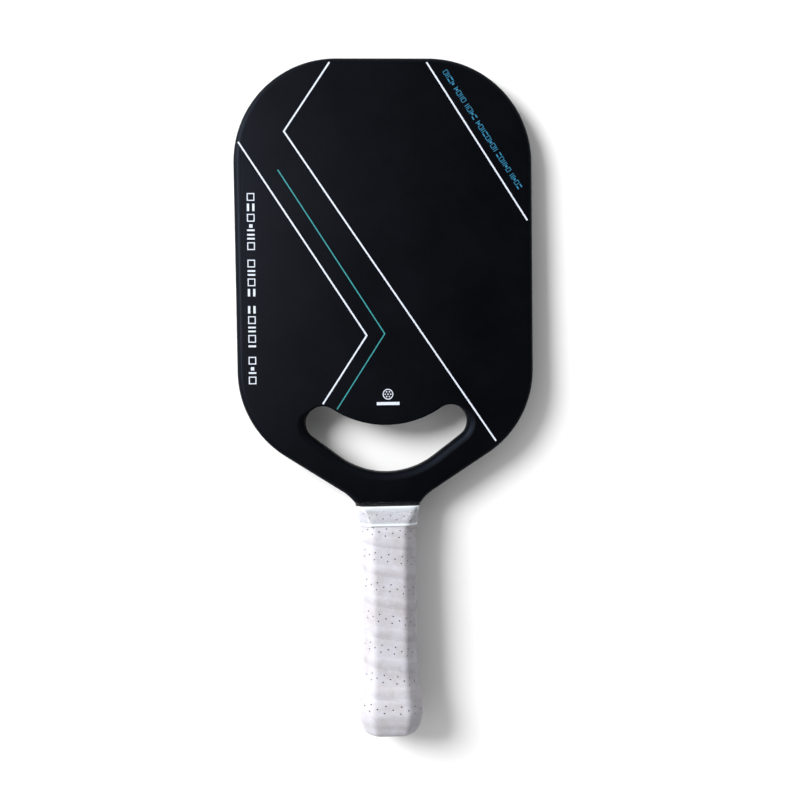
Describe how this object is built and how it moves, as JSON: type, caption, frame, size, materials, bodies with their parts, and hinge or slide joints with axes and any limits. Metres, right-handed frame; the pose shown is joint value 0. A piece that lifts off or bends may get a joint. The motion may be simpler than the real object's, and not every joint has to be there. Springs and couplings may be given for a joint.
{
  "type": "pickleball paddle",
  "caption": "Flat carbon-skinned racket with a rounded square head, a smile-shaped throat opening and a wrapped octagonal handle with a flared butt.",
  "frame": {"origin": "centre of the butt cap's flat end, in the paddle's mid-plane", "axes": "+Y from the butt towards the tip of the head, +Z out of the front face, +X across the head; the paddle lies flat"},
  "size_m": [0.183, 0.4187, 0.0346],
  "materials": {
    "carbon_face": "matte peel-ply carbon fibre laminate",
    "carbon_edge": "satin moulded carbon laminate",
    "adhesive": "cured film adhesive",
    "foam": "rigid closed-cell foam",
    "honeycomb": "polypropylene honeycomb",
    "pallet": "moulded polyurethane foam",
    "cap": "moulded ABS, fine satin",
    "cushion": "polyurethane cushion on felt",
    "overgrip": "tacky perforated polyurethane",
    "film": "clear glossy finishing tape"
  },
  "bodies": {
    "root": {"front_face": "carbon_face", "back_face": "carbon_face", "front_film_adhesive": "adhesive", "back_film_adhesive": "adhesive", "edge_wall": "carbon_edge", "throat_liner": "carbon_edge", "perimeter_foam": "foam", "throat_foam": "foam", "handle_core": "foam", "honeycomb_core": "honeycomb", "handle_pallet_front": "pallet", "handle_pallet_back": "pallet", "butt_cap": "cap", "base_grip": "cushion", "overgrip": "overgrip", "finishing_film": "film"}
  },
  "joints": []
}
